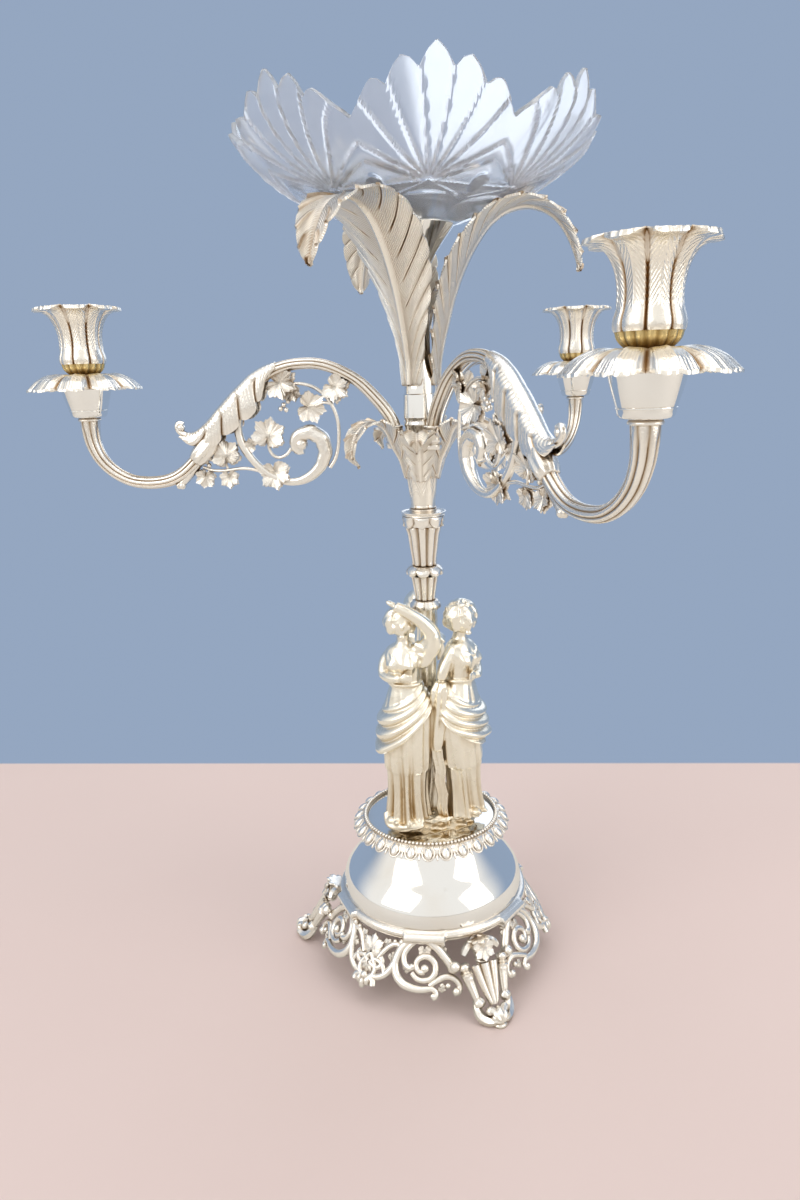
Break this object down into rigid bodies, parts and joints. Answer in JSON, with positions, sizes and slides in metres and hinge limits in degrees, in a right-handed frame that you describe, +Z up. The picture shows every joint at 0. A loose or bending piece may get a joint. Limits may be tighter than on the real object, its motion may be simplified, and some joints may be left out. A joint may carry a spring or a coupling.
{
  "type": "tabletop candelabra",
  "caption": "Silver-plated table centrepiece: scrolled vine branches with candle nozzles and drip pans round a column of draped figures, under long acanthus leaves and a cut-glass bowl.",
  "frame": {"origin": "on the table top at the centre of the three feet, on the column's axis", "axes": "+Z up along the column; one branch reaches along -X, the other two 120 degrees either side of it"},
  "size_m": [0.4298, 0.4848, 0.594],
  "materials": {
    "bright_plate": "polished silver plate on cast and spun nickel silver",
    "cast_plate": "chased and burnished silver plate, slightly matt in the hollows",
    "nozzle_plate": "silver plate with a worn, warm-toned fluted base",
    "steel": "plain tie rod, nut and washer",
    "cut_glass": "clear cut lead glass"
  },
  "bodies": {
    "base": {"base_rim": "cast_plate", "plinth_dome": "bright_plate", "egg_ring": "cast_plate", "bead_ring": "cast_plate", "mirror_plate": "bright_plate", "rock_plinth": "cast_plate", "tie_rod": "steel", "tie_washer": "steel", "tie_nut": "steel", "figure_trunk": "cast_plate", "low_collar": "cast_plate", "low_shaft": "cast_plate", "middle_collar": "cast_plate", "high_shaft": "cast_plate", "capital": "cast_plate", "calyx": "cast_plate", "arm_hub": "cast_plate", "neck_sleeve": "bright_plate", "border_front_left": "cast_plate", "figure_front_left": "cast_plate", "border_right": "cast_plate", "figure_right": "cast_plate", "border_back_left": "cast_plate", "figure_back_left": "cast_plate", "foot_left": "cast_plate", "droop_leaf_left": "cast_plate", "short_leaf_left": "cast_plate", "foot_front": "cast_plate", "droop_leaf_front": "cast_plate", "short_leaf_front": "cast_plate", "foot_back": "cast_plate", "droop_leaf_back": "cast_plate", "short_leaf_back": "cast_plate"},
    "arm_left": {"branch_left": "cast_plate", "vine_left": "cast_plate", "cup_left": "bright_plate"},
    "drip_left": {"pan_left": "cast_plate"},
    "candle_nozzle_left": {"nozzle_left": "nozzle_plate"},
    "arm_front": {"branch_front": "cast_plate", "vine_front": "cast_plate", "cup_front": "bright_plate"},
    "drip_front": {"pan_front": "cast_plate"},
    "candle_nozzle_front": {"nozzle_front": "nozzle_plate"},
    "arm_back": {"branch_back": "cast_plate", "vine_back": "cast_plate", "cup_back": "bright_plate"},
    "drip_back": {"pan_back": "cast_plate"},
    "candle_nozzle_back": {"nozzle_back": "nozzle_plate"},
    "leaf_spray": {"spray_stem": "cast_plate", "bowl_socket": "bright_plate", "long_leaf_front_left": "cast_plate", "long_leaf_right": "cast_plate", "long_leaf_back_left": "cast_plate"},
    "bowl": {"glass_bowl": "cut_glass"}
  },
  "joints": [
    {"name": "branch_lift_left", "type": "slide", "parent": "base", "child": "arm_left", "axis": [0, 0, 1], "range_m": [0, 0.03]},
    {"name": "pan_lift_left", "type": "slide", "parent": "arm_left", "child": "drip_left", "axis": [0, 0, 1], "range_m": [0, 0.03]},
    {"name": "nozzle_lift_left", "type": "slide", "parent": "drip_left", "child": "candle_nozzle_left", "axis": [0, 0, 1], "range_m": [0, 0.04]},
    {"name": "branch_lift_front", "type": "slide", "parent": "base", "child": "arm_front", "axis": [0, 0, 1], "range_m": [0, 0.03]},
    {"name": "pan_lift_front", "type": "slide", "parent": "arm_front", "child": "drip_front", "axis": [0, 0, 1], "range_m": [0, 0.03]},
    {"name": "nozzle_lift_front", "type": "slide", "parent": "drip_front", "child": "candle_nozzle_front", "axis": [0, 0, 1], "range_m": [0, 0.04]},
    {"name": "branch_lift_back", "type": "slide", "parent": "base", "child": "arm_back", "axis": [0, 0, 1], "range_m": [0, 0.03]},
    {"name": "pan_lift_back", "type": "slide", "parent": "arm_back", "child": "drip_back", "axis": [0, 0, 1], "range_m": [0, 0.03]},
    {"name": "nozzle_lift_back", "type": "slide", "parent": "drip_back", "child": "candle_nozzle_back", "axis": [0, 0, 1], "range_m": [0, 0.04]},
    {"name": "spray_lift", "type": "slide", "parent": "base", "child": "leaf_spray", "axis": [0, 0, 1], "range_m": [0, 0.05]},
    {"name": "bowl_lift", "type": "slide", "parent": "leaf_spray", "child": "bowl", "axis": [0, 0, 1], "range_m": [0, 0.05]}
  ]
}
